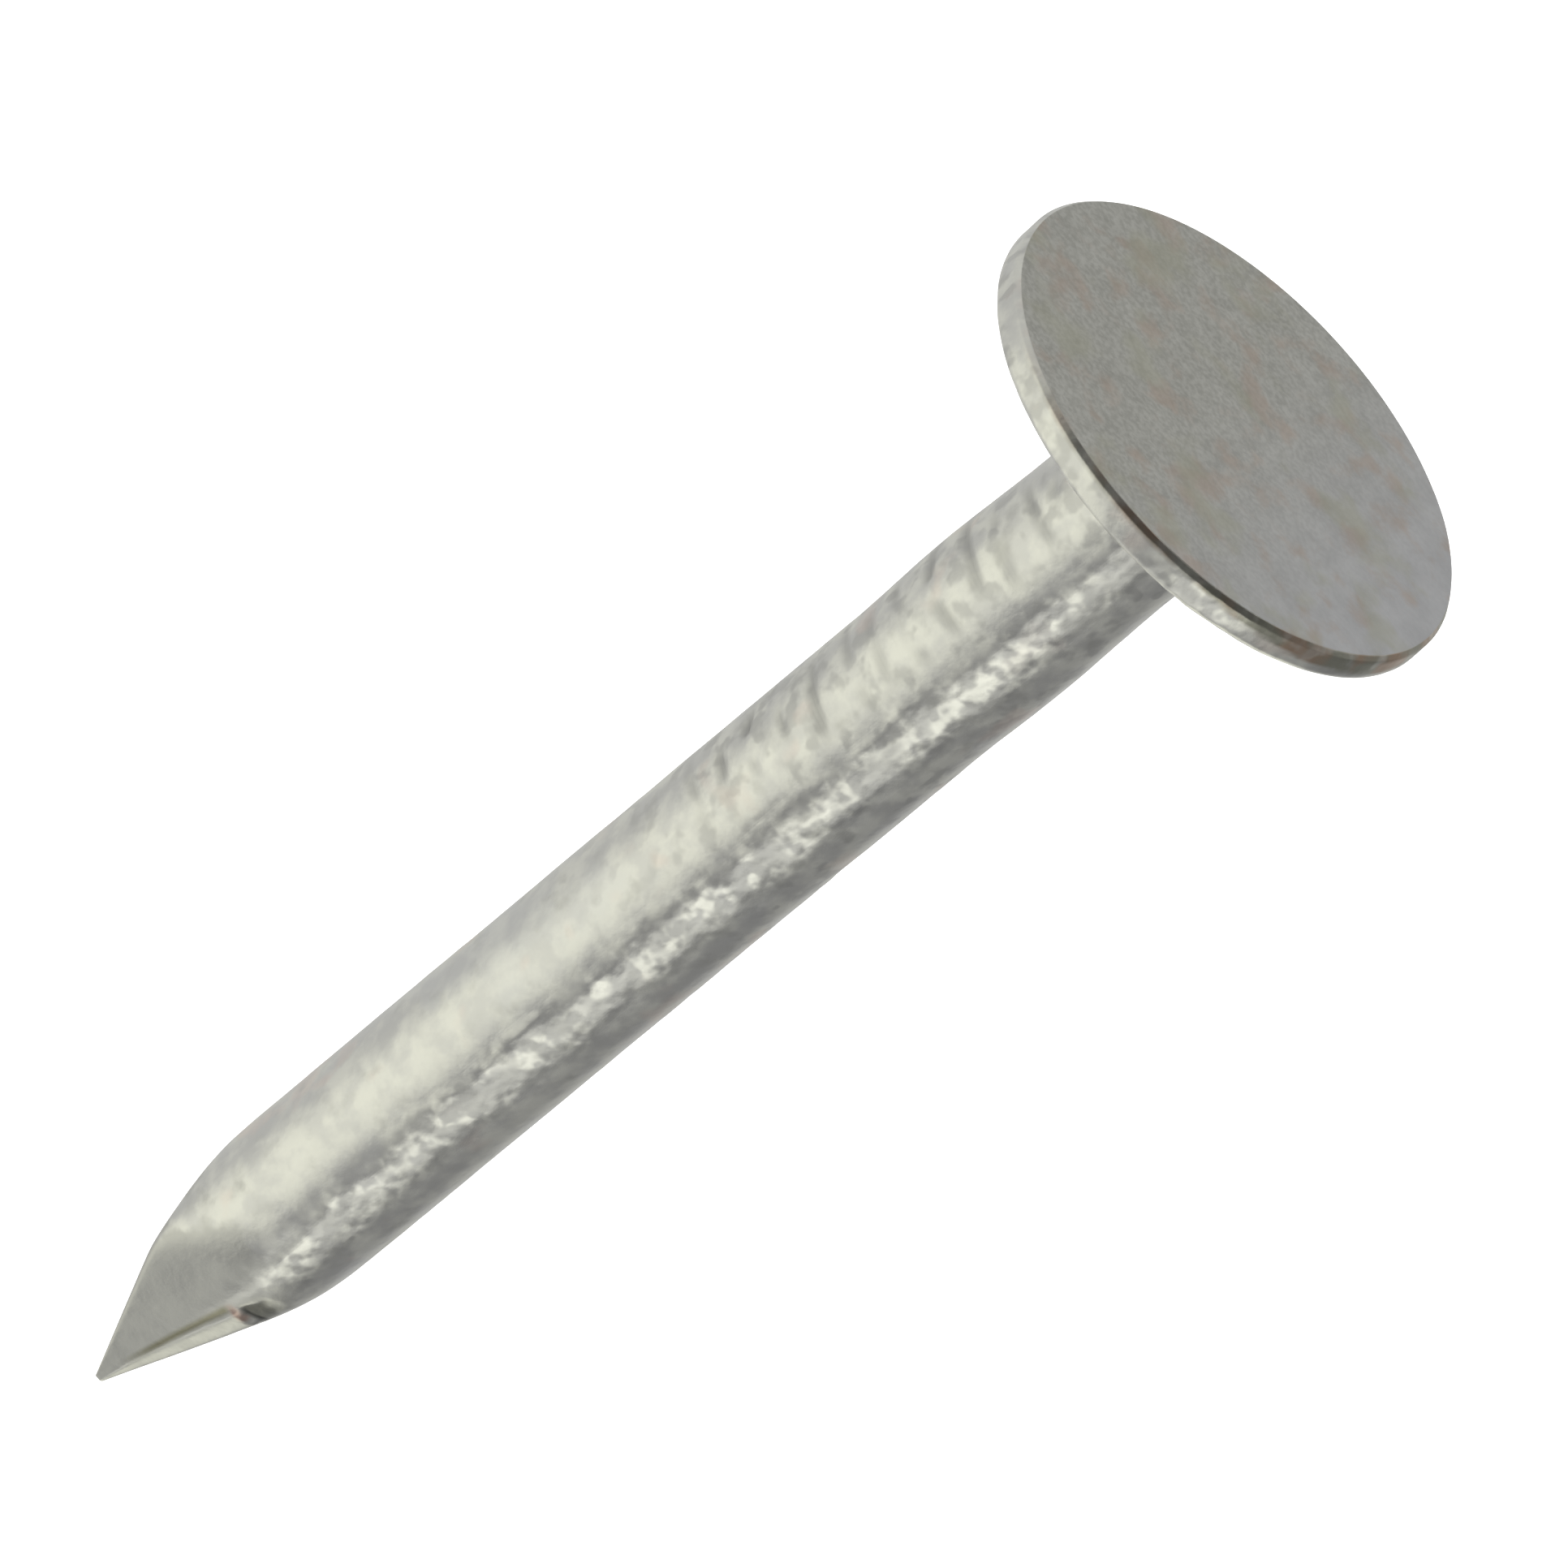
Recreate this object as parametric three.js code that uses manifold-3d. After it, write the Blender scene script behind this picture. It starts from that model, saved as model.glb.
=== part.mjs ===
// Galvanised clout nail: one length of steel wire, cold headed at one end and pinched to a diamond
// point at the other, with a thick zinc coat. Millimetres, +Z up.
//
// The origin is the middle of the head's seat, where the shank's axis meets the head's underside.
// The shank runs down -Z to the point. Azimuths are measured round the shank from -Y towards +X.

import * as THREE from 'three';
import { mergeVertices } from 'three/addons/utils/BufferGeometryUtils.js';
import Module from 'manifold-3d';

// ---- driving dimensions: millimetres and degrees ----

// Shank
const NAIL_LENGTH = 25;          // underside of the head to the tip
const SHANK_DIAMETER = 2.75;     // 2.65 mm wire with its zinc coat
const SWELL_RISE = 0.045;        // extra radius where the gripper dies upset the wire,
const SWELL_DEPTH = 4.4;         // this far below the head,
const SWELL_REACH = 2.2;         // dying away this far above and below
const NECK_FILLET = 0.25;        // radius between shank and head

// Head
const HEAD_DIAMETER = 8.42;
const HEAD_THICKNESS = 0.57;
const HEAD_OFFSET = 0.09;        // the head is struck a little off the shank's axis, towards +X
const HEAD_TILT = 2.6;           // and its face leans towards -X
const RIM_ROUND = 0.16;          // at the rim's lower edge
const BEVEL_WIDTH = 0.07;        // the rim falls away this far outside the face,
const BEVEL_HEIGHT = 0.09;       // by this much

// Point
const FACET_ANGLES = [17, 16, 18.9, 18.9];  // between the shank's axis and each facet, turning by +X
const FACET_AZIMUTH = -3;        // four even facets would start here, almost facing -Y
const FACET_TURNS = [6, 0, 0, 0]; // how far each real facet is turned from its even place
const APEX_OFFSET = 0.14;        // the apex sits off the shank's axis, towards +X
const TIP_BLUNT = 0.19;          // length lost from the sharp apex
const PARTED_CORNERS = [0, 2];   // the corners after these facets lie on the cutting dies' parting line
const LAND_ANGLES = [17.4, 21];    // between the shank's axis and the land pinched off each of those corners
const BURR_START = 1.6;          // flash left on the first land: how far up from the sharp apex it starts
const BURR_END = 3.6;            // and ends, in a step
const BURR_WIDTH = 0.3;
const BURR_HEIGHT = 0.08;

// Marks of the two gripper dies, which close across the parting line
const GRIP_COUNT = 14;
const GRIP_PITCH = 0.68;
const GRIP_FIRST = 1.1;          // head's underside to the first mark
const GRIP_DEPTH = 0.06;
const GRIP_WIDTH = 0.32;
const GRIP_HALF_ARC = 45;        // how far a mark wraps to each side of its die's middle
const GRIP_FLARE = 3;            // the cutter that bites a mark is this many times as deep

// Fineness
const SHANK_SIDES = 40;
const HEAD_SIDES = 80;
const GRIP_SIDES = 24;
const ARC_STEPS = 2;
const SWELL_STEPS = 6;

// ---- worked out from those ----

const shankRadius = SHANK_DIAMETER / 2;
const headRadius = HEAD_DIAMETER / 2;
const facetSpacing = 2 * Math.PI / FACET_ANGLES.length;
const dieAzimuth = THREE.MathUtils.degToRad(FACET_AZIMUTH) - facetSpacing / 2;
const sharpApex = new THREE.Vector3(APEX_OFFSET, 0, -NAIL_LENGTH - TIP_BLUNT);

function direction(azimuth) {
  return new THREE.Vector3(Math.sin(azimuth), -Math.cos(azimuth), 0);
}

// The azimuth of a facet, or of the corner after it at a half.
function pointAzimuth(facet) {
  return THREE.MathUtils.degToRad(FACET_AZIMUTH) + facet * facetSpacing;
}

// ---- solids ----

const wasm = await Module();
wasm.setup();

// A closed geometry as a manifold solid, without the flat triangles a lathe leaves on its axis.
function solidOf(geometry) {
  geometry.deleteAttribute('normal');
  geometry.deleteAttribute('uv');
  const welded = mergeVertices(geometry);
  const index = welded.index.array;
  const triangles = [];
  for (let i = 0; i < index.length; i += 3) {
    const [a, b, c] = index.slice(i, i + 3);
    if (a !== b && b !== c && c !== a) triangles.push(a, b, c);
  }
  return new wasm.Manifold(new wasm.Mesh({
    numProp: 3,
    vertProperties: new Float32Array(welded.attributes.position.array),
    triVerts: new Uint32Array(triangles),
  }));
}

function geometryOf(solid) {
  const mesh = solid.getMesh();
  const geometry = new THREE.BufferGeometry();
  geometry.setAttribute('position', new THREE.BufferAttribute(mesh.vertProperties, mesh.numProp));
  geometry.setIndex(new THREE.BufferAttribute(mesh.triVerts, 1));
  geometry.computeVertexNormals();
  return geometry;
}

// An outline of (radius, height) points, turned about Z. Its outer side runs upwards.
function turned(outline, sides) {
  return new THREE.LatheGeometry(outline, sides).rotateX(Math.PI / 2);
}

// ---- shank ----

// The shank's radius at a depth below the head's underside.
function shankRadiusAt(depth) {
  const away = Math.min(Math.abs(depth - SWELL_DEPTH) / SWELL_REACH, 1);
  return shankRadius + SWELL_RISE * (1 + Math.cos(Math.PI * away)) / 2;
}

// Wire, neck swelling and the fillet under the head, ending inside the head.
function shankSolid() {
  const neckRadius = shankRadiusAt(0);
  const bottom = sharpApex.z;
  const rootHeight = HEAD_THICKNESS / 2;
  const outline = new THREE.Path();
  outline.moveTo(0, bottom);
  outline.lineTo(shankRadius, bottom);
  for (let step = 0; step <= SWELL_STEPS; step += 1) {
    const depth = SWELL_DEPTH + SWELL_REACH * (1 - 2 * step / SWELL_STEPS);
    outline.lineTo(shankRadiusAt(depth), -depth);
  }
  const filletCentre = neckRadius + NECK_FILLET;
  outline.lineTo(neckRadius, -NECK_FILLET);
  outline.absarc(filletCentre, -NECK_FILLET, NECK_FILLET, Math.PI, Math.PI / 2, true);
  outline.lineTo(filletCentre, rootHeight);
  outline.lineTo(0, rootHeight);
  return solidOf(turned(outline.getPoints(ARC_STEPS), SHANK_SIDES));
}

// ---- head ----

// A flat disc with a rounded rim and a bevel round its face, offset and leaning as it was struck.
function headSolid() {
  const outline = new THREE.Path();
  outline.moveTo(0, 0);
  outline.lineTo(headRadius - RIM_ROUND, 0);
  outline.absarc(headRadius - RIM_ROUND, RIM_ROUND, RIM_ROUND, -Math.PI / 2, 0, false);
  outline.lineTo(headRadius, HEAD_THICKNESS - BEVEL_HEIGHT);
  outline.lineTo(headRadius - BEVEL_WIDTH, HEAD_THICKNESS);
  outline.lineTo(0, HEAD_THICKNESS);
  const disc = turned(outline.getPoints(ARC_STEPS), HEAD_SIDES);
  disc.rotateY(THREE.MathUtils.degToRad(-HEAD_TILT));
  disc.translate(HEAD_OFFSET, 0, 0);
  return solidOf(disc);
}

// ---- point ----

// Everything beyond a plane through a given place, as a block big enough for the whole point.
function beyondPlane(place, outward) {
  const steepest = THREE.MathUtils.degToRad(Math.min(...FACET_ANGLES));
  const size = 3 * (shankRadius + Math.abs(APEX_OFFSET)) / Math.tan(steepest);
  const block = new THREE.BoxGeometry(size, size, size);
  block.translate(0, 0, size / 2);
  block.applyQuaternion(new THREE.Quaternion().setFromUnitVectors(new THREE.Vector3(0, 0, 1), outward));
  block.translate(place.x, place.y, place.z);
  return solidOf(block);
}

// What the cutting dies take off on a plane through the sharp apex, at an angle to the shank's axis.
function pinchedOff(azimuth, degrees) {
  const angle = THREE.MathUtils.degToRad(degrees);
  const outward = direction(azimuth).multiplyScalar(Math.cos(angle));
  outward.z = -Math.sin(angle);
  return beyondPlane(sharpApex, outward);
}

// Four facets, a land on each parted corner, and a blunt tip.
function cutPoint(nail) {
  let shape = nail;
  for (const [facet, degrees] of FACET_ANGLES.entries()) {
    const turn = THREE.MathUtils.degToRad(FACET_TURNS[facet]);
    shape = shape.subtract(pinchedOff(pointAzimuth(facet) + turn, degrees));
  }
  for (const [land, facet] of PARTED_CORNERS.entries()) {
    shape = shape.subtract(pinchedOff(pointAzimuth(facet + 0.5), LAND_ANGLES[land]));
  }
  const tip = new THREE.Vector3(0, 0, -NAIL_LENGTH);
  return shape.subtract(beyondPlane(tip, new THREE.Vector3(0, 0, -1)));
}

// Flash on the first land: a sliver, rooted in the land, that rises towards the shank and ends in a step.
function burrSolid() {
  const side = new THREE.Shape();
  side.moveTo(BURR_START, -BURR_HEIGHT);
  side.lineTo(BURR_END, -BURR_HEIGHT);
  side.lineTo(BURR_END, BURR_HEIGHT);
  side.lineTo(BURR_START, 0);
  const burr = new THREE.ExtrudeGeometry(side, { depth: BURR_WIDTH, bevelEnabled: false });
  burr.translate(0, 0, -BURR_WIDTH / 2);
  burr.rotateX(-Math.PI / 2);
  burr.rotateY(THREE.MathUtils.degToRad(LAND_ANGLES[0]) - Math.PI / 2);
  burr.rotateZ(pointAzimuth(PARTED_CORNERS[0] + 0.5) - Math.PI / 2);
  burr.translate(sharpApex.x, sharpApex.y, sharpApex.z);
  return solidOf(burr);
}

// ---- gripper marks ----

// A sharp-edged ring pushed off centre, so that it bites only on its die's side of the shank.
function gripCutter(depth, azimuth) {
  const push = GRIP_DEPTH / (1 - Math.cos(THREE.MathUtils.degToRad(GRIP_HALF_ARC)));
  const edgeRadius = shankRadiusAt(depth) + push - GRIP_DEPTH;
  const outerRadius = edgeRadius + GRIP_FLARE * GRIP_DEPTH;
  const halfWidth = GRIP_FLARE * GRIP_WIDTH / 2;
  const outline = [
    new THREE.Vector2(outerRadius, -halfWidth),
    new THREE.Vector2(outerRadius, halfWidth),
    new THREE.Vector2(edgeRadius, 0),
    new THREE.Vector2(outerRadius, -halfWidth),
  ];
  const ring = turned(outline, GRIP_SIDES);
  const offset = direction(azimuth).multiplyScalar(-push);
  ring.translate(offset.x, offset.y, -depth);
  return solidOf(ring);
}

function cutGripMarks(nail) {
  let shape = nail;
  for (const azimuth of [dieAzimuth, dieAzimuth + Math.PI]) {
    for (let mark = 0; mark < GRIP_COUNT; mark += 1) {
      shape = shape.subtract(gripCutter(GRIP_FIRST + mark * GRIP_PITCH, azimuth));
    }
  }
  return shape;
}

// ---- the nail ----

const galvanisedSteel = new THREE.MeshStandardMaterial({ color: 0xb3b2a9, roughness: 0.5, metalness: 0.85 });

function nailMesh() {
  const wire = cutPoint(cutGripMarks(shankSolid())).add(burrSolid());
  const mesh = new THREE.Mesh(geometryOf(wire.add(headSolid())), galvanisedSteel);
  mesh.name = 'nail';
  return mesh;
}

const cloutNail = new THREE.Group();
cloutNail.add(nailMesh());

export default cloutNail;
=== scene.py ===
# Galvanised clout nail: the looks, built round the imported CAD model.
#
# The nail stands on its point, with +Z out through the head. The camera looks towards +Y from above and
# is rolled, so that the nail lies across the picture as it does in a catalogue shot.
# Azimuths are measured round the shank from -Y towards +X.
import itertools
import math
from collections import namedtuple

import bpy
import numpy as np
from mathutils import Matrix, Vector


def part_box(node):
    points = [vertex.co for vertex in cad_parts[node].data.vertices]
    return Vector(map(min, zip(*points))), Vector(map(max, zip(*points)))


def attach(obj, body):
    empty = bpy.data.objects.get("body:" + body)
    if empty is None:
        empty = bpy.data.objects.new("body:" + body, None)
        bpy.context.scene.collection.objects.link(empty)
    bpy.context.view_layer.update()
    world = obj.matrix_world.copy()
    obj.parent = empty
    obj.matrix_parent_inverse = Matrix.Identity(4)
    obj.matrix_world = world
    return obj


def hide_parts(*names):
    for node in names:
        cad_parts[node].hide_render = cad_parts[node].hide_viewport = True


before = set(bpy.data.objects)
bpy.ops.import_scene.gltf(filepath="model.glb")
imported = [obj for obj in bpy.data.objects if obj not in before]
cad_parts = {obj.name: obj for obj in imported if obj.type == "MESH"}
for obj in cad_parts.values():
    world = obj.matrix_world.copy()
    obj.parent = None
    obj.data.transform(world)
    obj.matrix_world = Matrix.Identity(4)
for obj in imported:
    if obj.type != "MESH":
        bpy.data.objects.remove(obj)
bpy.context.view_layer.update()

MM = 0.001
PIECE_NAME = "zinc_coated_nail"
LOW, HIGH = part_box("nail")

# ---- the nail's sizes, as in the CAD model ----

NAIL_LENGTH = -LOW.z
HEAD_RADIUS = (HIGH.y - LOW.y) / 2
SHANK_RADIUS = 1.375 * MM
SWELL_RISE = 0.045 * MM
SWELL_DEPTH = 4.4 * MM
SWELL_REACH = 2.2 * MM
NECK_FILLET = 0.25 * MM

HEAD_THICKNESS = 0.57 * MM
HEAD_OFFSET = 0.09 * MM
HEAD_TILT = math.radians(2.6)
RIM_ROUND = 0.16 * MM
BEVEL_WIDTH = 0.07 * MM
BEVEL_HEIGHT = 0.09 * MM

# The point's angles and azimuths are in degrees.
FACET_ANGLES = [17, 16, 18.9, 18.9]
FACET_AZIMUTH = -3
FACET_TURNS = [6, 0, 0, 0]
APEX_OFFSET = 0.14 * MM
TIP_BLUNT = 0.19 * MM
PARTED_CORNERS = [0, 2]
LAND_ANGLES = [17.4, 21]
BURR_END = 3.6 * MM

GRIP_COUNT = 14
GRIP_PITCH = 0.68 * MM
GRIP_FIRST = 1.1 * MM
GRIP_HALF_ARC = math.radians(45)

FACET_SPACING = 360 / len(FACET_ANGLES)
LAND_AZIMUTHS = [FACET_AZIMUTH + (facet + 0.5) * FACET_SPACING for facet in PARTED_CORNERS]
DIE_AZIMUTH = math.radians(FACET_AZIMUTH - FACET_SPACING / 2)
APEX = np.array([APEX_OFFSET, 0, -NAIL_LENGTH - TIP_BLUNT])

# ---- what the coat and the wear add to those sizes ----

# A name that ends in FADE holds the two values between which a share changes. The flash, the torn hollow, the
# rust and the dark olive line are placed by distances along the first land from the apex and out from the
# land.

NECK_LEAN = 0.02 * MM
NECK_LEAN_REACH = 5 * MM
NECK_FADE = (0, 0.3 * MM)
POINT_FADE = (-NAIL_LENGTH + 5 * MM, -NAIL_LENGTH + 4 * MM)
TIP_DOME = 0.03 * MM
BEVEL_ROUND = 0.015 * MM
CORNER_SHARPNESS = 18       # power of the soft minimum that rounds the point's corners
FACET_FADE = (0.92, 1.16)   # cut radius over round radius
FACET_CALM = 0.8            # share of the coat's relief that the cutting dies flattened
FACE_CALM = 0.85            # share of it that is missing on the struck face

COAT_WAVE = 0.005 * MM
COAT_WAVE_CELL = 1.1 * MM
CRUST_LUMP = 0.36 * MM
CRUST_RISE = 0.013 * MM
FINE_LUMP_SHARE = 0.6
PLAIN_LUMP_SHARE = 0.25     # how lumpy the coat is away from the crust
# The crust stripe lies where the strip light's highlight falls; its bright flecks are partly painted glints.
CRUST_AZIMUTH = math.radians(23.5)
CRUST_REACH = math.radians(23)
CRUST_FADE = (0.45, 1)      # in reaches from the stripe's middle
CRUST_RAGGED = 0.25
CRUST_RAGGED_CELL = 0.6 * MM
CRUST_BEND = math.radians(12)
CRUST_BEND_FADE = (-NAIL_LENGTH + 8 * MM, -NAIL_LENGTH + 4 * MM)

GRIP_DEPTH = 0.05 * MM
GRIP_WIDTH = 0.2 * MM
GRIP_END_FADE = (0, 0.35)   # in radians from a mark's end
GRIP_WANDER = 0.10 * MM
GRIP_WANDER_CELL = 0.7 * MM
GRIP_GAP_CELL = 0.45 * MM
GRIP_GAP_FADE = (-0.5, 0.3)

# The least and the most of what differs from one gripper mark to the next.
GRIP_SHIFTS = (-0.15, 0.15)   # along the shank, in pitches
GRIP_STRENGTHS = (0.5, 1.1)   # in depths
GRIP_REACHES = (0.75, 1.1)    # in half arcs
GRIP_MIDDLES = (0, 0.25)      # round the shank, in radians
GRIP_SLANTS = (-0.05, 0.15)   # in shank radii for each radian

# Where the rim's oxide stain lies, darkened further as painted shade on the bevel and down one side.
DARK_RIM_AZIMUTH = math.radians(70)
DARK_RIM_REACH = math.radians(125)
DARK_RIM_SAG = 0.26 * MM
DARK_RIM_FADE = (-0.05 * MM, 0.01 * MM)

BURR_START = 1.0 * MM
BURR_WIDTH = 0.7 * MM
BURR_HEIGHT = 0.06 * MM
BURR_CORE = 0.6             # share of its half width at full height
BURR_END_FADE = (BURR_END - 0.06 * MM, BURR_END + 0.02 * MM)
BURR_OUT_FADE = (-0.05 * MM, 0)
BURR_RAGGED = 0.05 * MM
BURR_RAGGED_CELL = 0.16 * MM

TEAR_DEPTH = 0.03 * MM
TEAR_LENGTH = 0.62 * MM
TEAR_CORE = 0.6
TEAR_RISE = 0.3 * MM
TEAR_START_FADE = (BURR_END - 0.02 * MM, BURR_END + 0.08 * MM)
TEAR_OUT_FADE = (-0.15 * MM, -0.02 * MM)
TEAR_RAGGED = 0.12 * MM
TEAR_RAGGED_CELL = 0.25 * MM

RUST_MIDDLE = BURR_END - 0.04 * MM
RUST_REACH = 0.12 * MM
RUST_SIDE_FADE = (-0.05 * MM, 0.1 * MM)
RUST_OUT_FADE = (-0.1 * MM, 0)

EDGE_LINE_OUT = -0.045 * MM
EDGE_LINE_REACH = 0.055 * MM
EDGE_LINE_START_FADE = (0.6 * MM, 1.8 * MM)
EDGE_LINE_END_FADE = (BURR_END - 0.2 * MM, BURR_END)

LUMP_SEED, FINE_LUMP_SEED, WAVE_SEED, CRUST_SEED = 11, 12, 13, 14
GRIP_SEED, GRIP_WANDER_SEED, GRIP_GAP_SEED = 21, 22, 23
BURR_SEED, TEAR_SEED = 31, 32

# ---- how fine the mesh is: its sides, and the steps of each stretch of rings ----

SIDES = 208
TIP_STEPS = 6
POINT_STEPS = 84
SHANK_STEPS = 272
FILLET_STEPS = 7
UNDERSIDE_STEPS = 20
BEAD_STEPS = 9
RIM_STEPS = 6
BEVEL_STEPS = 9
FACE_STEPS = 30
FACE_EDGE_STEPS = (0.2, 1, 2)   # the struck face's first rings, in bevel roundings in from the bevel
TIP_FIRST_SHARE = 0.05          # size of the dome's lowest ring, as a share of its top one
POINT_REACH = 4.8 * MM          # how far above the tip the shank's own steps begin


# ---- sums that several shapes use ----

def smoothstep(value, start, end):
    """Runs smoothly from 0 to 1 as the value goes from start to end."""
    t = np.clip((value - start) / (end - start), 0, 1)
    return t * t * (3 - 2 * t)


def hump(value, centre, reach):
    """1 at the centre, falling smoothly to 0 a reach away on each side."""
    away = np.clip(np.abs(value - centre) / reach, 0, 1)
    return (1 + np.cos(math.pi * away)) / 2


def turn_between(a, b):
    """The signed angle from b to a, between -pi and pi."""
    return (a - b + math.pi) % (2 * math.pi) - math.pi


LATTICE_SIZE = 64
LATTICE_OFFSET = 0.37   # keeps the nail's axis off the lattice's own planes


def smooth_noise(points, cell, seed):
    """Noise from -1 to 1 at points, an array whose last axis is x, y, z, with lumps about a cell across."""
    lattice = np.random.default_rng(seed).uniform(-1, 1, [LATTICE_SIZE] * 3)
    scaled = points / cell + LATTICE_OFFSET
    base = np.floor(scaled).astype(int)
    fraction = scaled - base
    ease = fraction * fraction * (3 - 2 * fraction)
    total = np.zeros(points.shape[:-1])
    for corner in itertools.product((0, 1), repeat=3):
        index = (base + corner) % LATTICE_SIZE
        weight = np.prod(np.where(corner, ease, 1 - ease), axis=-1)
        total += weight * lattice[index[..., 0], index[..., 1], index[..., 2]]
    return total


# ---- the nail's surface, as rings of points from the tip to the middle of the head ----

AZIMUTHS = np.arange(SIDES) * 2 * math.pi / SIDES
OUTWARD = np.stack([np.sin(AZIMUTHS), -np.cos(AZIMUTHS), np.zeros(SIDES)], axis=-1)


def shank_radius_at(depth):
    """The round wire's radius this far under the head, with the swell that the gripper dies raised."""
    return SHANK_RADIUS + SWELL_RISE * hump(depth, SWELL_DEPTH, SWELL_REACH)


def pinched_normal(azimuth, angle):
    """The outward normal of a plane pinched at an angle to the shank's axis, both in degrees."""
    turn, lean = math.radians(azimuth), math.radians(angle)
    across = math.cos(lean)
    return np.array([across * math.sin(turn), -across * math.cos(turn), -math.sin(lean)])


def point_normals():
    """The point's four facets, then the lands pinched off its parted corners. All meet at the sharp apex."""
    azimuths = [FACET_AZIMUTH + facet * FACET_SPACING + turn for facet, turn in enumerate(FACET_TURNS)]
    pinched = zip(azimuths + LAND_AZIMUTHS, FACET_ANGLES + LAND_ANGLES)
    return [pinched_normal(azimuth, angle) for azimuth, angle in pinched]


LEAST_FACING = 1e-3   # a ray that turns to a plane less than this misses it
LEAST_RADIUS = 1e-6
FAR = 1.0


def plane_radius(centres, normal):
    """How far level rays from each centre run before they meet a plane through the apex."""
    facing = OUTWARD @ normal
    meets = facing > LEAST_FACING
    gap = (APEX - centres) @ normal
    radius = gap[:, None] / np.where(meets, facing, 1)
    return np.where(meets, np.maximum(radius, LEAST_RADIUS), FAR)


def wire_rings(heights):
    """The shank and the point at these heights: rings (ring, side, xyz), and how much each point is facet."""
    steepest = math.tan(math.radians(min(FACET_ANGLES)))
    point_length = (SHANK_RADIUS + APEX_OFFSET) / steepest
    centres = np.zeros((len(heights), 3))
    centres[:, 0] = APEX_OFFSET * (1 - smoothstep(heights - APEX[2], 0, point_length))
    centres[:, 2] = heights
    along = centres @ OUTWARD.T
    full = shank_radius_at(-heights)[:, None]
    round_radius = -along + np.sqrt(full ** 2 - centres[:, :1] ** 2 + along ** 2)
    flat_radii = np.stack([plane_radius(centres, normal) for normal in point_normals()])
    radii = np.concatenate([round_radius[None], flat_radii])
    # A soft minimum: the smallest radius wins, and corners come out rounded.
    radius = np.sum(radii ** -CORNER_SHARPNESS, axis=0) ** (-1 / CORNER_SHARPNESS)
    rings = centres[:, None, :] + radius[..., None] * OUTWARD
    rings[..., 0] += NECK_LEAN * (1 - smoothstep(-heights, 0, NECK_LEAN_REACH))[:, None]
    facet_share = 1 - smoothstep(flat_radii.min(axis=0) / round_radius, *FACET_FADE)
    return rings, facet_share


def head_ring(radius, height, centre=0.0):
    """One ring in the head's own leaning frame, put into the nail's frame."""
    x = radius * np.sin(AZIMUTHS) + centre
    y = -radius * np.cos(AZIMUTHS)
    lean_x = x * math.cos(HEAD_TILT) - height * math.sin(HEAD_TILT)
    lean_z = x * math.sin(HEAD_TILT) + height * math.cos(HEAD_TILT)
    return np.stack([lean_x + HEAD_OFFSET, y, lean_z], axis=-1)


def arc(centre_r, centre_h, radius, start, end, steps):
    """Points (radius, height) along an arc, from one angle in degrees to another."""
    angles = np.radians(np.linspace(start, end, steps))
    return [(centre_r + radius * math.cos(a), centre_h + radius * math.sin(a)) for a in angles]


def rim_outline():
    """The head's edge as (radius, height): a rounded bead, then a bevel up to the struck face."""
    shoulder = HEAD_THICKNESS - BEVEL_HEIGHT
    points = arc(HEAD_RADIUS - RIM_ROUND, RIM_ROUND, RIM_ROUND, -90, 0, BEAD_STEPS)
    for height in np.linspace(RIM_ROUND, shoulder - BEVEL_ROUND, RIM_STEPS)[1:]:
        points.append((HEAD_RADIUS, height))
    for share in np.linspace(0, 1, BEVEL_STEPS)[1:-1]:
        points.append((HEAD_RADIUS - BEVEL_WIDTH * share, shoulder + BEVEL_HEIGHT * share))
    face_edge = HEAD_RADIUS - BEVEL_WIDTH
    for step in FACE_EDGE_STEPS:
        points.append((face_edge - BEVEL_ROUND * step, HEAD_THICKNESS))
    return points


def tip_rings(first_height):
    """The blunt tip, closing under the first full ring."""
    full, _ = wire_rings(np.array([first_height]))
    centre = full[0].mean(axis=0)
    rings = []
    for share in np.linspace(TIP_FIRST_SHARE, 1, TIP_STEPS)[:-1]:
        ring = centre + (full[0] - centre) * share
        ring[:, 2] = first_height - TIP_DOME * math.sqrt(1 - share * share)
        rings.append(ring)
    return rings


def neck_rings():
    """The fillet between the shank and the underside of the head, turning into the head's lean."""
    rings = []
    neck = shank_radius_at(0)
    for radius, height in arc(neck + NECK_FILLET, -NECK_FILLET, NECK_FILLET, 180, 90, FILLET_STEPS)[1:]:
        share = 1 + height / NECK_FILLET
        ring = head_ring(radius, 0, NECK_LEAN - HEAD_OFFSET)
        ring[:, 2] = ring[:, 2] * share + height
        rings.append(ring)
    return rings


def underside_rings(outer):
    """The flat under the head, out to this radius. Its rings move from the neck's middle to the head's."""
    rings = []
    inner = shank_radius_at(0) + NECK_FILLET
    for radius in np.linspace(inner, outer, UNDERSIDE_STEPS)[1:-1]:
        centred = smoothstep(radius, inner, outer)
        rings.append(head_ring(radius, 0, (HEAD_OFFSET - NECK_LEAN) * (centred - 1)))
    return rings


def stain_and_shade_share(heights):
    """The rim's oxide stain, darkened further as painted shade: on the bevel under the face's edge, and down
    over the bead on one side.
    """
    shoulder = HEAD_THICKNESS - BEVEL_HEIGHT
    turn = np.abs(turn_between(AZIMUTHS, DARK_RIM_AZIMUTH))
    sag = DARK_RIM_SAG * hump(turn, 0, DARK_RIM_REACH / 2)
    above = heights[:, None] - (shoulder - sag)
    below_face = heights[:, None] < HEAD_THICKNESS
    near = 1 - smoothstep(turn, DARK_RIM_REACH / 2, DARK_RIM_REACH)
    return smoothstep(above, *DARK_RIM_FADE) * near * below_face


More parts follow.
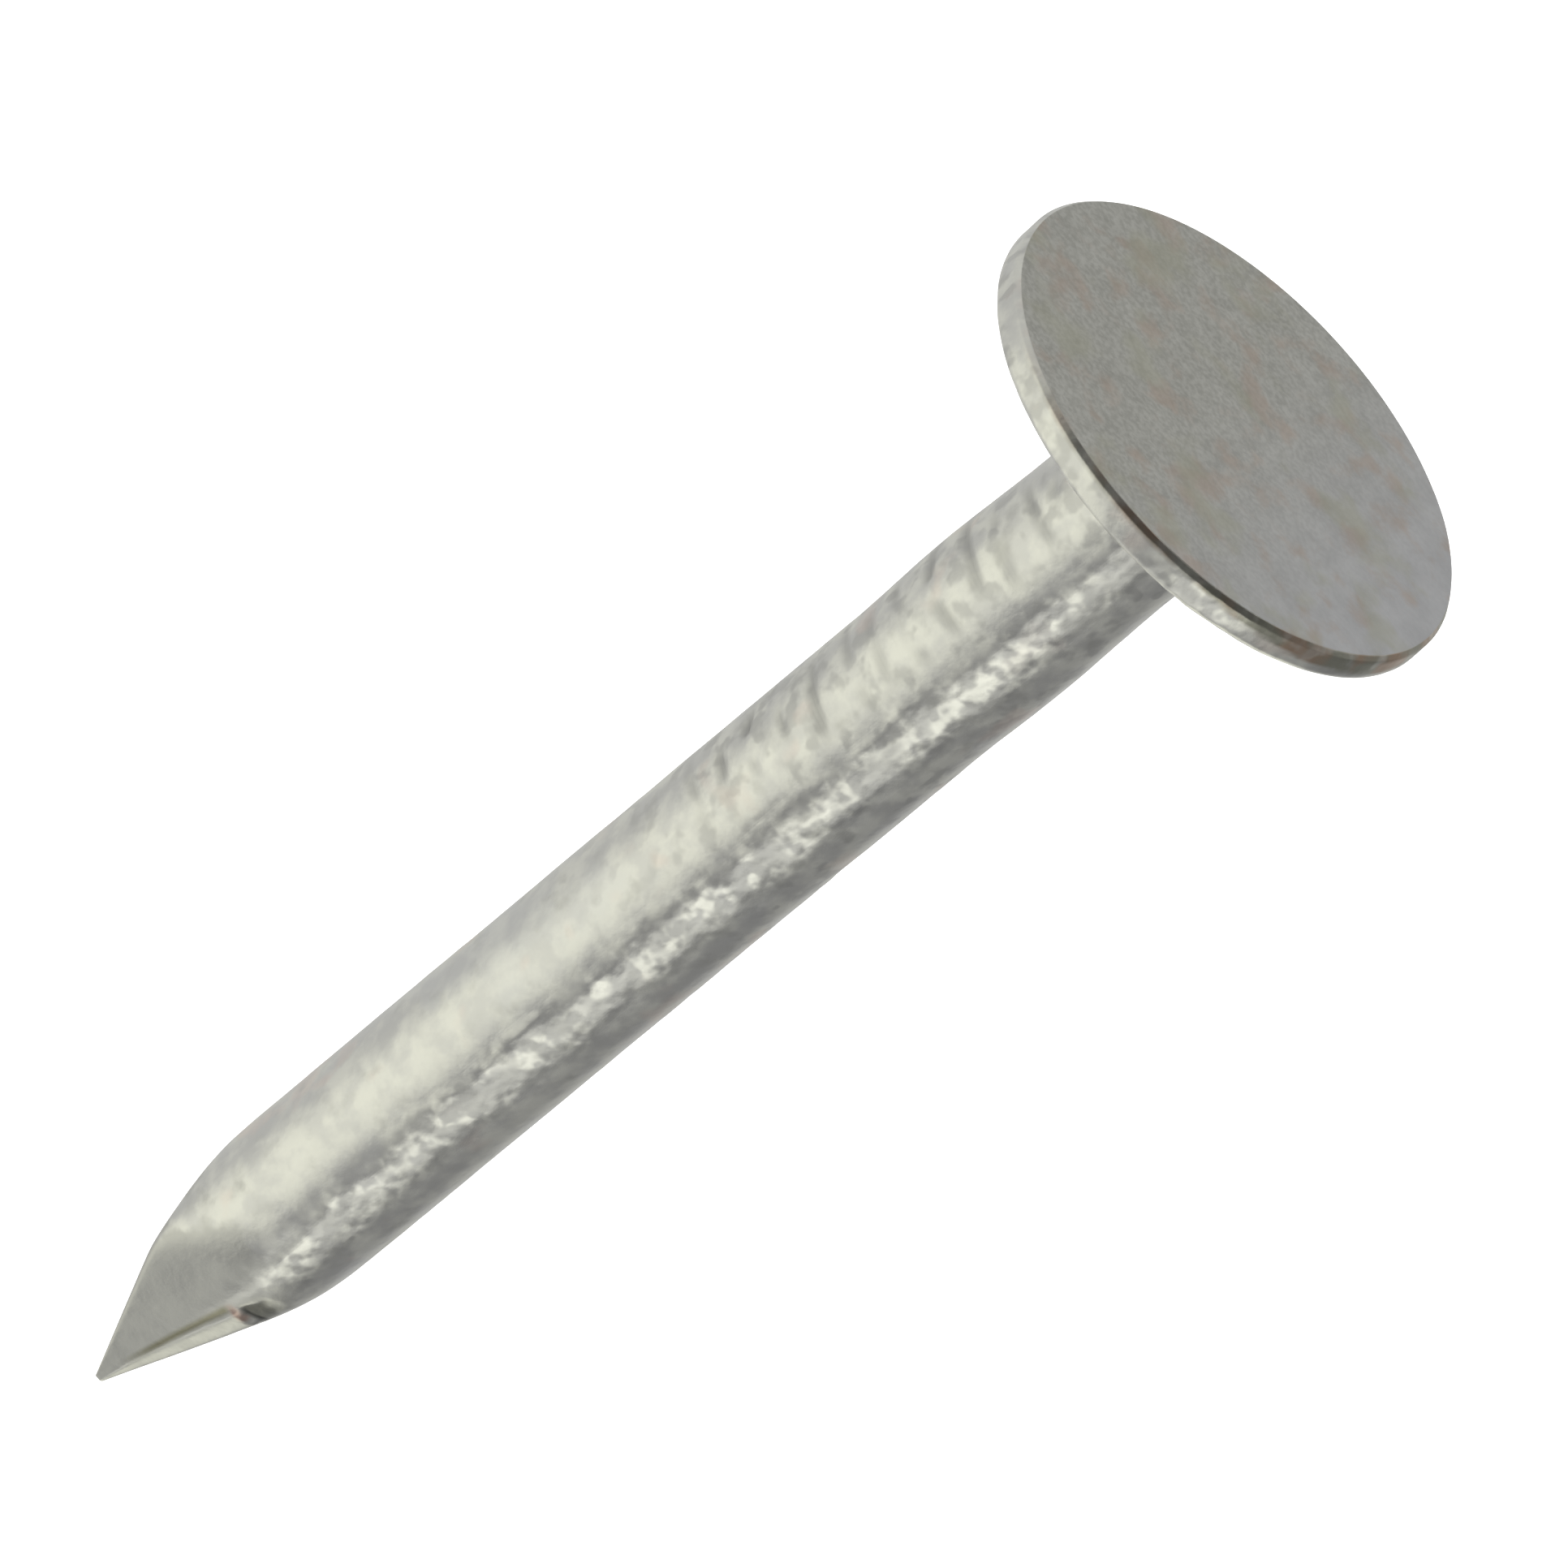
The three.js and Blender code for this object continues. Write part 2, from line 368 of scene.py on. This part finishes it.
def nail_rings():
    """All rings, with how far each point is pinched facet, struck face, and rim with its stain and painted
    shade.
    """
    first = -NAIL_LENGTH + TIP_DOME
    point_top = -NAIL_LENGTH + POINT_REACH
    heights = np.concatenate([
        np.linspace(first, point_top, POINT_STEPS),
        np.linspace(point_top, -NECK_FILLET, SHANK_STEPS)[1:],
    ])
    wire, wire_facet = wire_rings(heights)
    tip = tip_rings(first)
    edge = rim_outline()
    under = underside_rings(edge[0][0])
    rim = [head_ring(radius, height) for radius, height in edge]
    face = [head_ring(radius, HEAD_THICKNESS) for radius in np.linspace(edge[-1][0], 0, FACE_STEPS)[1:-1]]
    rings = np.stack([*tip, *wire, *neck_rings(), *under, *rim, *face])
    facet_share = np.zeros(rings.shape[:2])
    facet_share[:len(tip)] = 1
    facet_share[len(tip):len(tip) + len(wire)] = wire_facet
    face_share = np.zeros(rings.shape[:2])
    face_share[-len(face) - len(FACE_EDGE_STEPS):] = 1
    rim_heights = np.array([height for _, height in edge])
    rim_stain_and_shade = np.zeros(rings.shape[:2])
    rim_stain_and_shade[-len(face) - len(rim):-len(face)] = stain_and_shade_share(rim_heights)
    return rings, facet_share, face_share, rim_stain_and_shade


# ---- relief: how far each point stands out from those rings ----

LEAST_LENGTH = 1e-12   # keeps a normal of no length from dividing by zero


def ring_normals(rings):
    """The outward normal at each point of the rings."""
    up = np.gradient(rings, axis=0)
    around = (np.roll(rings, -1, axis=1) - np.roll(rings, 1, axis=1)) / 2
    normals = np.cross(around, up)
    return normals / np.maximum(np.linalg.norm(normals, axis=-1, keepdims=True), LEAST_LENGTH)


def azimuth_of(rings):
    """Each point's azimuth round the shank's axis, in radians."""
    return np.arctan2(rings[..., 0], -rings[..., 1])


def crust_and_glint_share(rings):
    """Where the zinc drained to as the nail hung and set: one rough stripe along the shank, lying under the
    strip light's highlight, where the colour also paints bright glints.
    """
    bend = CRUST_BEND * smoothstep(rings[..., 2], *CRUST_BEND_FADE)
    turn = np.abs(turn_between(azimuth_of(rings), CRUST_AZIMUTH + bend))
    ragged = CRUST_RAGGED * smooth_noise(rings, CRUST_RAGGED_CELL, CRUST_SEED)
    return 1 - smoothstep(turn / CRUST_REACH + ragged, *CRUST_FADE)


def coat_relief(rings, crust):
    """The lumpy zinc: slow waves all over, and small lumps where the crust is."""
    lumps = smooth_noise(rings, CRUST_LUMP, LUMP_SEED)
    lumps += FINE_LUMP_SHARE * smooth_noise(rings, CRUST_LUMP / 2, FINE_LUMP_SEED)
    lumpy = PLAIN_LUMP_SHARE + (1 - PLAIN_LUMP_SHARE) * crust
    waves = smooth_noise(rings, COAT_WAVE_CELL, WAVE_SEED)
    return COAT_WAVE * waves + CRUST_RISE * lumps * lumpy


def grip_relief(rings):
    """Shallow marks of the two gripper dies, part filled with zinc."""
    depth = -rings[..., 2]
    random = np.random.default_rng(GRIP_SEED)
    wander = GRIP_WANDER * smooth_noise(rings, GRIP_WANDER_CELL, GRIP_WANDER_SEED)
    broken = smoothstep(smooth_noise(rings, GRIP_GAP_CELL, GRIP_GAP_SEED), *GRIP_GAP_FADE)
    relief = np.zeros(rings.shape[:2])
    for die in (DIE_AZIMUTH, DIE_AZIMUTH + math.pi):
        turn = turn_between(azimuth_of(rings), die)
        for mark in range(GRIP_COUNT):
            place = GRIP_FIRST + (mark + random.uniform(*GRIP_SHIFTS)) * GRIP_PITCH
            strength = random.uniform(*GRIP_STRENGTHS)
            reach = GRIP_HALF_ARC * random.uniform(*GRIP_REACHES)
            middle = random.uniform(*GRIP_MIDDLES)
            slant = random.uniform(*GRIP_SLANTS) * SHANK_RADIUS
            across = hump(depth + wander + slant * turn, place, GRIP_WIDTH)
            ends = smoothstep(reach - np.abs(turn - middle), *GRIP_END_FADE)
            relief -= strength * GRIP_DEPTH * across * ends
    return relief * broken


def land_place(rings):
    """Where each point lies from the first land's middle line: up along it, across it and out from it."""
    azimuth = math.radians(LAND_AZIMUTHS[0])
    outward = pinched_normal(LAND_AZIMUTHS[0], LAND_ANGLES[0])
    across = np.array([math.cos(azimuth), math.sin(azimuth), 0])
    along = np.cross(outward, across)
    place = rings - APEX
    return place @ along, place @ across, place @ outward


def burr_relief(rings):
    """Flash left on the first land: a sliver that rises towards the shank and ends in a ragged step."""
    along, across, out = land_place(rings)
    ragged = BURR_RAGGED * smooth_noise(rings, BURR_RAGGED_CELL, BURR_SEED)
    rise = np.clip((along - BURR_START) / (BURR_END - BURR_START), 0, 1)
    step = 1 - smoothstep(along + ragged, *BURR_END_FADE)
    half = BURR_WIDTH / 2
    side = 1 - smoothstep(np.abs(across) + ragged / 2, half * BURR_CORE, half)
    return BURR_HEIGHT * rise * step * side * smoothstep(out, *BURR_OUT_FADE)


def tear_and_shade_share(rings):
    """The torn hollow between the end of the flash and the round of the shank, which the colour also darkens
    as painted shade.
    """
    along, across, out = land_place(rings)
    ragged = TEAR_RAGGED * smooth_noise(rings, TEAR_RAGGED_CELL, TEAR_SEED)
    starts = smoothstep(along + ragged, *TEAR_START_FADE)
    ends = 1 - smoothstep(along + ragged - BURR_END, TEAR_LENGTH * TEAR_CORE, TEAR_LENGTH)
    upper = smoothstep(across + ragged, -TEAR_RISE, -TEAR_RISE / 2)
    return starts * ends * upper * smoothstep(out, *TEAR_OUT_FADE)


def rust_share(rings):
    """The rusty end of the flash, beside the hollow."""
    along, across, out = land_place(rings)
    end = hump(along, RUST_MIDDLE, RUST_REACH)
    return end * (1 - smoothstep(across, *RUST_SIDE_FADE)) * smoothstep(out, *RUST_OUT_FADE)


def edge_share(rings):
    """A dark olive line on the facet beside the first land."""
    along, across, out = land_place(rings)
    line = hump(out, EDGE_LINE_OUT, EDGE_LINE_REACH) * (across < 0)
    starts = smoothstep(along, *EDGE_LINE_START_FADE)
    ends = 1 - smoothstep(along, *EDGE_LINE_END_FADE)
    return line * starts * ends


def closed_mesh(name, rings):
    """A mesh of quads between neighbouring rings, closed by a fan at each end."""
    count = len(rings)
    ends = [rings[0].mean(axis=0), rings[-1].mean(axis=0)]
    vertices = np.concatenate([rings.reshape(-1, 3), ends])
    side = np.arange(SIDES)
    following = (side + 1) % SIDES
    faces = []
    for base in range(0, (count - 1) * SIDES, SIDES):
        quads = [base + side, base + following, base + following + SIDES, base + side + SIDES]
        faces += np.stack(quads, axis=-1).tolist()
    bottom, top = count * SIDES, count * SIDES + 1
    last = (count - 1) * SIDES
    faces += [(bottom, b, a) for a, b in zip(side.tolist(), following.tolist())]
    faces += [(top, last + a, last + b) for a, b in zip(side.tolist(), following.tolist())]
    mesh = bpy.data.meshes.new(name)
    mesh.from_pydata(vertices.tolist(), [], faces)
    mesh.shade_smooth()
    return mesh


def store_share(mesh, name, shares):
    """Keeps a share per point for the material, with the value of the last ring at each closed end."""
    values = np.concatenate([shares.ravel(), [shares[0].mean(), shares[-1].mean()]])
    attribute = mesh.attributes.new(name, "FLOAT", "POINT")
    attribute.data.foreach_set("value", values.astype(np.float32))


def build_nail():
    """The whole nail as one closed mesh, with the shares that its material reads."""
    rings, facet_share, face_share, rim_stain_and_shade = nail_rings()
    on_wire = smoothstep(-rings[..., 2], *NECK_FADE) * (1 - facet_share)
    on_point = smoothstep(rings[..., 2], *POINT_FADE)
    crust = crust_and_glint_share(rings)
    grip = grip_relief(rings) * on_wire
    tear = tear_and_shade_share(rings) * on_point
    relief = coat_relief(rings, crust) * (1 - FACET_CALM * facet_share) * (1 - FACE_CALM * face_share)
    relief += grip + burr_relief(rings) * on_point - TEAR_DEPTH * tear
    rings = rings + ring_normals(rings) * relief[..., None]
    mesh = closed_mesh(PIECE_NAME, rings)
    shares = {
        "facet_share": facet_share,
        "face_share": face_share,
        # These shares also carry painted light: shade in the gripper marks, glints on the crust, shade round
        # the rim and in the torn hollow.
        "grip_shade_share": -grip / GRIP_DEPTH,
        "crust_and_glint_share": crust * (1 - facet_share) * (1 - face_share),
        "stain_and_shade_share": rim_stain_and_shade,
        "tear_and_shade_share": tear,
        "edge_share": edge_share(rings) * on_point,
        "rust_share": rust_share(rings) * on_point,
    }
    for name, values in shares.items():
        store_share(mesh, name, values)
    nail = bpy.data.objects.new(PIECE_NAME, mesh)
    bpy.context.scene.collection.objects.link(nail)
    mesh.materials.append(zinc_material())
    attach(nail, "root")
    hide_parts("nail")


# ---- node trees ----

class Graph:
    """Short calls for adding nodes to a material's or the world's tree. Values are sockets or constants."""

    def __init__(self, tree):
        self.nodes = tree.nodes
        self.links = tree.links

    def put(self, value, socket):
        """Links a socket, or sets a constant."""
        if isinstance(value, bpy.types.NodeSocket):
            self.links.new(value, socket)
        else:
            socket.default_value = value

    def add(self, kind, inputs=None, **settings):
        """A node of this kind, with its inputs filled by name or number and its settings made."""
        node = self.nodes.new("ShaderNode" + kind)
        for name, value in settings.items():
            setattr(node, name, value)
        for name, value in (inputs or {}).items():
            self.put(value, node.inputs[name])
        return node

    def math(self, operation, first, second=0.0, third=0.0):
        """One Math node, named by its operation."""
        return self.add("Math", {0: first, 1: second, 2: third}, operation=operation).outputs[0]

    def noise(self, place, cell, detail=2.0):
        """Noise from about 0.25 to 0.75 with lumps about a cell across."""
        inputs = {"Vector": place, "Scale": 1 / cell, "Detail": detail}
        return self.add("TexNoise", inputs).outputs["Fac"]

    def shifted(self, place, distance):
        """The same place moved, for a noise that doesn't line up with another."""
        step = (distance, distance, distance)
        return self.add("VectorMath", {0: place, 1: step}, operation="ADD").outputs[0]

    def step(self, value, start, end, low=0.0, high=1.0):
        """Runs smoothly from low to high as the value goes from start to end."""
        inputs = {"Value": value, 1: start, 2: end, 3: low, 4: high}
        return self.add("MapRange", inputs, interpolation_type="SMOOTHSTEP").outputs["Result"]

    def mix(self, share, first, second):
        """A colour that goes from the first to the second as the share goes from 0 to 1."""
        node = self.add("Mix", data_type="RGBA")
        self.put(share, node.inputs[0])
        self.put(first, node.inputs[6])
        self.put(second, node.inputs[7])
        return node.outputs[2]

    def share(self, name):
        """A share that the mesh keeps for each point."""
        return self.add("Attribute", attribute_name=name).outputs["Fac"]


def grey(level, warmth=0.0):
    """A grey that warmth turns towards cream."""
    return (level, level, level * (1 - warmth), 1)


# ---- material ----

DULL_ZINC = grey(0.62, 0.03)
BRIGHT_ZINC = grey(0.75, 0.06)
SCUFFED_ZINC = grey(0.50, 0.03)
BLUISH_ZINC = (0.63, 0.64, 0.66, 1)
PINKISH_ZINC = (0.76, 0.64, 0.58, 1)
CRUST_GROUND = grey(0.46, 0.03)
# Bright flecks on the crust: partly the crystals' own tone, partly painted glints.
CRYSTAL_GLINT = grey(0.88, 0.08)
# Painted shade in the grooves of the gripper marks.
GRIP_PAINTED_SHADE = grey(0.34, 0.02)
RUBBED_ZINC = grey(0.51, 0.05)
EDGE_DARK_LINE = (0.27, 0.26, 0.19, 1)
FLASH_RUST = (0.45, 0.33, 0.28, 1)
# Partly bare torn steel, partly painted shade in the torn hollow.
TORN_STEEL_AND_SHADE = grey(0.13, 0.08)

FACE_DARK = grey(0.45, 0.06)
FACE_PALE = grey(0.55, 0.05)
FACE_CLEAN = (0.57, 0.575, 0.605, 1)
FACE_BROWN = (0.52, 0.43, 0.37, 1)
FACE_OLIVE = (0.47, 0.47, 0.38, 1)
# Oxide on the rim, darker than the oxide alone as painted shade on the bevel and down one side.
RIM_OXIDE_AND_SHADE = (0.32, 0.32, 0.27, 1)
RIM_RUST = (0.40, 0.30, 0.23, 1)

# How large the patches of each kind are.
MOTTLE_CELL = 0.5 * MM
SCUFF_CELL = 0.4 * MM
BLUISH_CELL = 1.7 * MM
PINKISH_CELL = 1.0 * MM
CRYSTAL_GLINT_CELL = 0.24 * MM
CLUSTER_CELL = 0.6 * MM
RUB_EDGE_CELL = 0.45 * MM
FACE_GRAIN_CELL = 0.09 * MM
BROWN_CELL = 0.7 * MM
OLIVE_CELL = 1.2 * MM
RIM_RUST_CELL = 0.9 * MM
RIM_WEAR_CELL = 0.4 * MM
ROUGHNESS_CELL = 0.5 * MM
FINE_BUMP_CELL = 0.1 * MM
COARSE_BUMP_CELL = 0.34 * MM

# How fully each kind covers what is under it, where it is strongest.
CRUST_COVER = 0.8
GRIP_SHADE_COVER = 0.85
SCUFF_COVERS = (0.1, 0.8)          # at the point and near the head
BLUISH_COVER = 0.25
PINKISH_COVER = 0.35
CLEAN_COVER = 0.8
BROWN_COVER = 0.55
OLIVE_COVER = 0.5
SCUFF_FADE = (-14 * MM, -9 * MM)   # heights between which the scuffs of the gripper dies begin
CLEAN_FADE = (-1 * MM, 4 * MM)     # where the struck face turns clean, along X

ROUGHNESS = (0.28, 0.38)
FACE_EXTRA_ROUGHNESS = 0.25
BUMP_HEIGHT = 0.013 * MM
FINE_BUMP = 0.3
PLAIN_BUMP = 0.5
CRUST_BUMP = 2.6


# In these functions, the two numbers after a noise are the levels between which its patches fade in. The
# noise lies between about 0.25 and 0.75, so higher levels leave fewer and smaller patches.

def zinc_material():
    """Dull hot-dip zinc: mottled and crusted on the shank, matt and stained on the struck face. Painted
    glints lie on the crust, and painted shade in the gripper marks, the torn hollow and round the rim.
    """
    material = bpy.data.materials.new("galvanised_zinc")
    material.use_nodes = True
    graph = Graph(material.node_tree)
    shader = material.node_tree.nodes["Principled BSDF"]
    place = graph.add("TexCoord").outputs["Object"]
    face = graph.share("face_share")
    colour = graph.mix(face, shank_colour(graph, place), face_colour(graph, place))
    graph.put(rim_stains_and_shade(graph, place, colour), shader.inputs["Base Color"])
    shader.inputs["Metallic"].default_value = 1
    rough = graph.step(graph.noise(place, ROUGHNESS_CELL), 0.3, 0.7, *ROUGHNESS)
    graph.put(graph.math("MULTIPLY_ADD", face, FACE_EXTRA_ROUGHNESS, rough), shader.inputs["Roughness"])
    graph.put(zinc_bump(graph, place), shader.inputs["Normal"])
    return material


def shank_colour(graph, place):
    """The wire's coat: mottled zinc, then the crust with painted glints, the gripper marks with painted
    shade, the facets and the torn flash with painted shade in its hollow.
    """
    mottle = graph.step(graph.noise(place, MOTTLE_CELL, detail=3), 0.36, 0.64)
    base = graph.mix(mottle, DULL_ZINC, BRIGHT_ZINC)
    scuff = graph.step(graph.noise(graph.shifted(place, 7 * MM), SCUFF_CELL), 0.5, 0.66)
    base = graph.mix(graph.math("MULTIPLY", scuff, scuffed(graph, place)), base, SCUFFED_ZINC)
    bluish = graph.step(graph.noise(place, BLUISH_CELL), 0.55, 0.68, 0.0, BLUISH_COVER)
    base = graph.mix(bluish, base, BLUISH_ZINC)
    pinkish = graph.noise(graph.shifted(place, 3 * MM), PINKISH_CELL)
    base = graph.mix(graph.step(pinkish, 0.6, 0.72, 0.0, PINKISH_COVER), base, PINKISH_ZINC)
    # The crust's colour, with painted glints on its bright flecks.
    crust = graph.math("MULTIPLY", graph.share("crust_and_glint_share"), CRUST_COVER)
    base = graph.mix(crust, base, crust_glint_colour(graph, place))
    # Painted shade in the gripper marks, darkest where the grooves are deepest.
    grip = graph.math("MULTIPLY", graph.share("grip_shade_share"), GRIP_SHADE_COVER)
    base = graph.mix(grip, base, GRIP_PAINTED_SHADE)
    base = graph.mix(rubbed(graph, place), base, RUBBED_ZINC)
    base = graph.mix(graph.share("edge_share"), base, EDGE_DARK_LINE)
    base = graph.mix(graph.share("rust_share"), base, FLASH_RUST)
    # The torn hollow: dark partly from bare steel, partly from painted shade.
    return graph.mix(graph.share("tear_and_shade_share"), base, TORN_STEEL_AND_SHADE)


def scuffed(graph, place):
    """How much the gripper dies have scuffed the coat: most near the head."""
    height = graph.add("SeparateXYZ", {"Vector": place}).outputs["Z"]
    return graph.step(height, *SCUFF_FADE, *SCUFF_COVERS)


def crust_glint_colour(graph, place):
    """Bright flecks in clusters, on duller zinc: partly the crystals' own tone, partly painted glints."""
    crystal_glint = graph.step(graph.noise(place, CRYSTAL_GLINT_CELL, detail=1), 0.37, 0.62)
    cluster = graph.noise(graph.shifted(place, 2 * MM), CLUSTER_CELL, detail=1)
    bright = graph.math("MULTIPLY", crystal_glint, graph.step(cluster, 0.42, 0.56, 0.15, 1.0))
    return graph.mix(bright, CRUST_GROUND, CRYSTAL_GLINT)


def rubbed(graph, place):
    """Where the dies rubbed the zinc thin: the facets, with a ragged upper edge."""
    ragged = graph.math("MULTIPLY_ADD", graph.noise(place, RUB_EDGE_CELL, detail=3), 2.0, -1.0)
    return graph.step(graph.math("ADD", graph.share("facet_share"), ragged), 0.05, 0.75)


def face_colour(graph, place):
    """The struck face: fine matt grain, cleaner on one side, with brown and olive stains."""
    grain = graph.step(graph.noise(place, FACE_GRAIN_CELL), 0.3, 0.7)
    base = graph.mix(grain, FACE_DARK, FACE_PALE)
    across = graph.add("SeparateXYZ", {"Vector": place}).outputs["X"]
    base = graph.mix(graph.step(across, *CLEAN_FADE, 0.0, CLEAN_COVER), base, FACE_CLEAN)
    brown = graph.step(graph.noise(place, BROWN_CELL, detail=4), 0.5, 0.7, 0.0, BROWN_COVER)
    base = graph.mix(brown, base, FACE_BROWN)
    olive = graph.noise(graph.shifted(place, 5 * MM), OLIVE_CELL, detail=3)
    return graph.mix(graph.step(olive, 0.52, 0.68, 0.0, OLIVE_COVER), base, FACE_OLIVE)


def rim_stains_and_shade(graph, place, colour):
    """Dull oxide on the bevel and down one side of the rim, turning to rust in places, and darkened further
    as painted shade.
    """
    rust = graph.step(graph.noise(place, RIM_RUST_CELL, detail=3), 0.42, 0.6)
    stain_and_shade_colour = graph.mix(rust, RIM_OXIDE_AND_SHADE, RIM_RUST)
    worn = graph.step(graph.noise(graph.shifted(place, 4 * MM), RIM_WEAR_CELL), 0.35, 0.55, 0.6, 1.0)
    return graph.mix(graph.math("MULTIPLY", graph.share("stain_and_shade_share"), worn), colour, stain_and_shade_colour)


def zinc_bump(graph, place):
    """Fine crystals all over, and coarser ones where the crust is."""
    fine = graph.math("MULTIPLY", graph.noise(place, FINE_BUMP_CELL), FINE_BUMP)
    coarse = graph.noise(place, COARSE_BUMP_CELL, detail=1)
    crust = graph.math("MULTIPLY_ADD", graph.share("crust_and_glint_share"), CRUST_BUMP, PLAIN_BUMP)
    height = graph.math("MULTIPLY_ADD", coarse, crust, fine)
    return graph.add("Bump", {"Strength": 1.0, "Distance": BUMP_HEIGHT, "Height": height}).outputs["Normal"]


# ---- camera ----

CAMERA_TARGET = Vector((0, 0, -12)) * MM
CAMERA_DISTANCE = 300 * MM
CAMERA_ELEVATION = math.radians(30)
CAMERA_ROLL = math.radians(-50.3)
CAMERA_LENS = 461.6
AIM_RIGHT = 1.82 * MM
AIM_UP = 1.724 * MM


def make_camera():
    """Above the nail, looking towards +Y, rolled so that the head is at the upper right."""
    back = Vector((0, -math.cos(CAMERA_ELEVATION), math.sin(CAMERA_ELEVATION)))
    level_up = Vector((0, math.sin(CAMERA_ELEVATION), math.cos(CAMERA_ELEVATION)))
    level_right = Vector((1, 0, 0))
    right = level_right * math.cos(CAMERA_ROLL) - level_up * math.sin(CAMERA_ROLL)
    up = level_right * math.sin(CAMERA_ROLL) + level_up * math.cos(CAMERA_ROLL)
    place = CAMERA_TARGET + back * CAMERA_DISTANCE
    aim = CAMERA_TARGET + right * AIM_RIGHT + up * AIM_UP
    toward_camera = (place - aim).normalized()
    x_axis = up.cross(toward_camera).normalized()
    y_axis = toward_camera.cross(x_axis)
    camera = bpy.data.objects.new("camera", bpy.data.cameras.new("camera"))
    camera.data.lens = CAMERA_LENS
    axes = Matrix((x_axis, y_axis, toward_camera)).transposed()
    camera.matrix_world = Matrix.Translation(place) @ axes.to_4x4()
    bpy.context.scene.collection.objects.link(camera)
    bpy.context.scene.camera = camera


# ---- studio ----

# What the metal mirrors. Each panel has the azimuth of its middle and half its width, the elevation of its
# middle and half its height, and the softness of its edges, all in degrees, then its brightness and warmth.
# A later panel stands in front of the earlier ones.
ROOM_LEVEL = 0.66
ROOM_WARMTH = 0.03
Panel = namedtuple("Panel", "azimuth half_width elevation half_height softness level warmth")
PANELS = {
    "wide softbox": Panel(-45, 38, -25, 55, 25, 1.08, 0.10),
    "overhead flag": Panel(20, 80, 45, 35, 20, 0.14, 0.0),
    "gap": Panel(13, 12, -30, 40, 10, 0.34, 0.0),
    "strip light": Panel(46, 11, -30, 45, 7, 1.25, 0.06),
    "dark flag": Panel(107, 33, -30, 50, 16, 0.28, 0.0),
    "low card": Panel(120, 35, -64, 16, 8, 1.3, 0.12),
}


def panel_mask(graph, azimuth, elevation, panel):
    """1 where a direction meets the panel, falling softly to 0 round its edges."""
    turn = graph.math("SUBTRACT", azimuth, math.radians(panel.azimuth))
    away = graph.math("ABSOLUTE", graph.math("WRAP", turn, math.pi, -math.pi))
    rise = graph.math("ABSOLUTE", graph.math("SUBTRACT", elevation, math.radians(panel.elevation)))
    soft = math.radians(panel.softness)
    wide, tall = math.radians(panel.half_width), math.radians(panel.half_height)
    across = graph.step(away, wide - soft, wide + soft, 1.0, 0.0)
    return graph.math("MULTIPLY", across, graph.step(rise, tall - soft, tall + soft, 1.0, 0.0))


def make_world():
    """A pale studio: white to the camera, with soft panels and dark flags for the metal to mirror."""
    world = bpy.data.worlds.new("studio")
    world.use_nodes = True
    graph = Graph(world.node_tree)
    direction = graph.add("TexCoord").outputs["Generated"]
    axes = graph.add("SeparateXYZ", {"Vector": direction}).outputs
    azimuth = graph.math("ARCTAN2", axes["X"], graph.math("MULTIPLY", axes["Y"], -1.0))
    elevation = graph.math("ARCSINE", axes["Z"])
    colour = grey(ROOM_LEVEL, ROOM_WARMTH)
    for panel in PANELS.values():
        mask = panel_mask(graph, azimuth, elevation, panel)
        colour = graph.mix(mask, colour, grey(panel.level, panel.warmth))
    seen = graph.add("LightPath").outputs["Is Camera Ray"]
    background = world.node_tree.nodes["Background"]
    graph.put(graph.mix(seen, colour, grey(1)), background.inputs["Color"])
    bpy.context.scene.world = world


FLOOR_COLOUR = (0.93, 0.93, 0.92, 1)
FLOOR_ROUGHNESS = 0.9
FLOOR_SIZE = 4.0
FLOOR_GAP = 4 * MM
FLOOR_LIGHT_HEIGHT = 1.0
FLOOR_LIGHT_SIZE = 1.6
FLOOR_LIGHT_POWER = 26


def make_floor():
    """A plain pale floor just below the nail. The metal mirrors the studio's panels, not the floor."""
    half = FLOOR_SIZE / 2
    mesh = bpy.data.meshes.new("floor")
    corners = [(-half, -half, 0), (half, -half, 0), (half, half, 0), (-half, half, 0)]
    mesh.from_pydata(corners, [], [(0, 1, 2, 3)])
    floor = bpy.data.objects.new("floor", mesh)
    floor.location.z = LOW.z - FLOOR_GAP
    floor.visible_glossy = False
    floor.visible_shadow = False
    material = bpy.data.materials.new("pale_floor")
    material.use_nodes = True
    shader = material.node_tree.nodes["Principled BSDF"]
    shader.inputs["Base Color"].default_value = FLOOR_COLOUR
    shader.inputs["Roughness"].default_value = FLOOR_ROUGHNESS
    mesh.materials.append(material)
    bpy.context.scene.collection.objects.link(floor)


def make_floor_light():
    """A large lamp that lights the floor. The metal doesn't mirror it."""
    light = bpy.data.lights.new("overhead_softbox", "AREA")
    light.size = FLOOR_LIGHT_SIZE
    light.energy = FLOOR_LIGHT_POWER
    lamp = bpy.data.objects.new("overhead_softbox", light)
    lamp.location.z = FLOOR_LIGHT_HEIGHT
    lamp.visible_glossy = False
    lamp.visible_camera = False
    bpy.context.scene.collection.objects.link(lamp)


build_nail()
make_camera()
make_floor()
make_floor_light()
make_world()
bpy.context.scene.view_settings.view_transform = "Standard"
